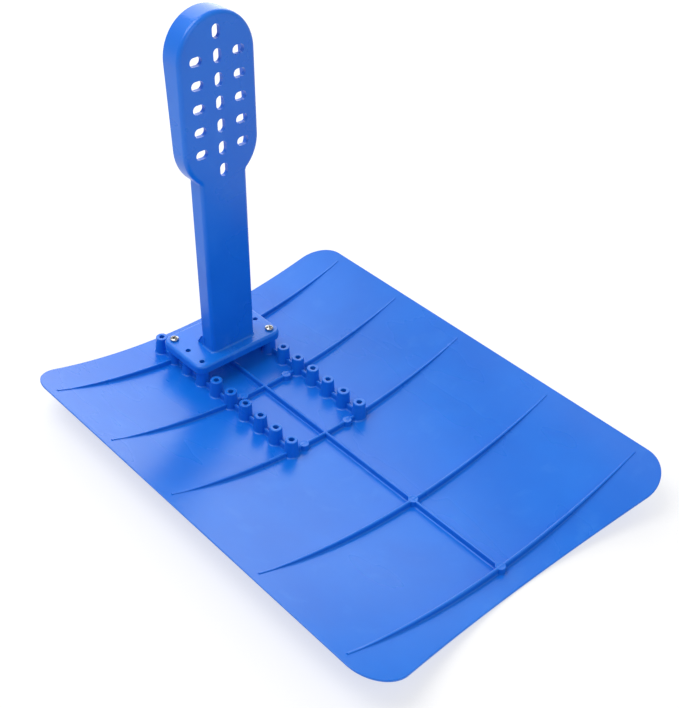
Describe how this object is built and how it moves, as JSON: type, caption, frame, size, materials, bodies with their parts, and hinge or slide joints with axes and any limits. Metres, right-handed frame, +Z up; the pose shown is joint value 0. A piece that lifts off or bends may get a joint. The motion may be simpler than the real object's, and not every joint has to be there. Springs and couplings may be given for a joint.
{
  "type": "mortar hawk",
  "caption": "Trough-shaped plastic mortar hawk with rows of screw bosses, arched cross ribs and an upright perforated paddle handle screwed on near one end.",
  "frame": {"origin": "middle of the object's length and width, at the lowest point of the plate's underside", "axes": "+X runs along the plate's long edges, away from the handle; +Z is up, from the plate's smooth face to the handle; +Y is across the plate"},
  "size_m": [0.4122, 0.312, 0.31],
  "materials": {
    "blue_plastic": "satin blue moulded plastic",
    "zinc_plated_steel": "bright zinc-plated steel"
  },
  "bodies": {
    "plate": {"plate": "blue_plastic"},
    "handle": {"handle": "blue_plastic"},
    "screw_near": {"screw_near": "zinc_plated_steel"},
    "screw_far": {"screw_far": "zinc_plated_steel"}
  },
  "joints": [
    {"name": "handle_lift", "type": "slide", "parent": "plate", "child": "handle", "axis": [0, 0, 1], "range_m": [0, 0.045]},
    {"name": "screw_near_draw", "type": "slide", "parent": "handle", "child": "screw_near", "axis": [0, 0, 1], "range_m": [0, 0.022]},
    {"name": "screw_far_draw", "type": "slide", "parent": "handle", "child": "screw_far", "axis": [0, 0, 1], "range_m": [0, 0.022]}
  ]
}
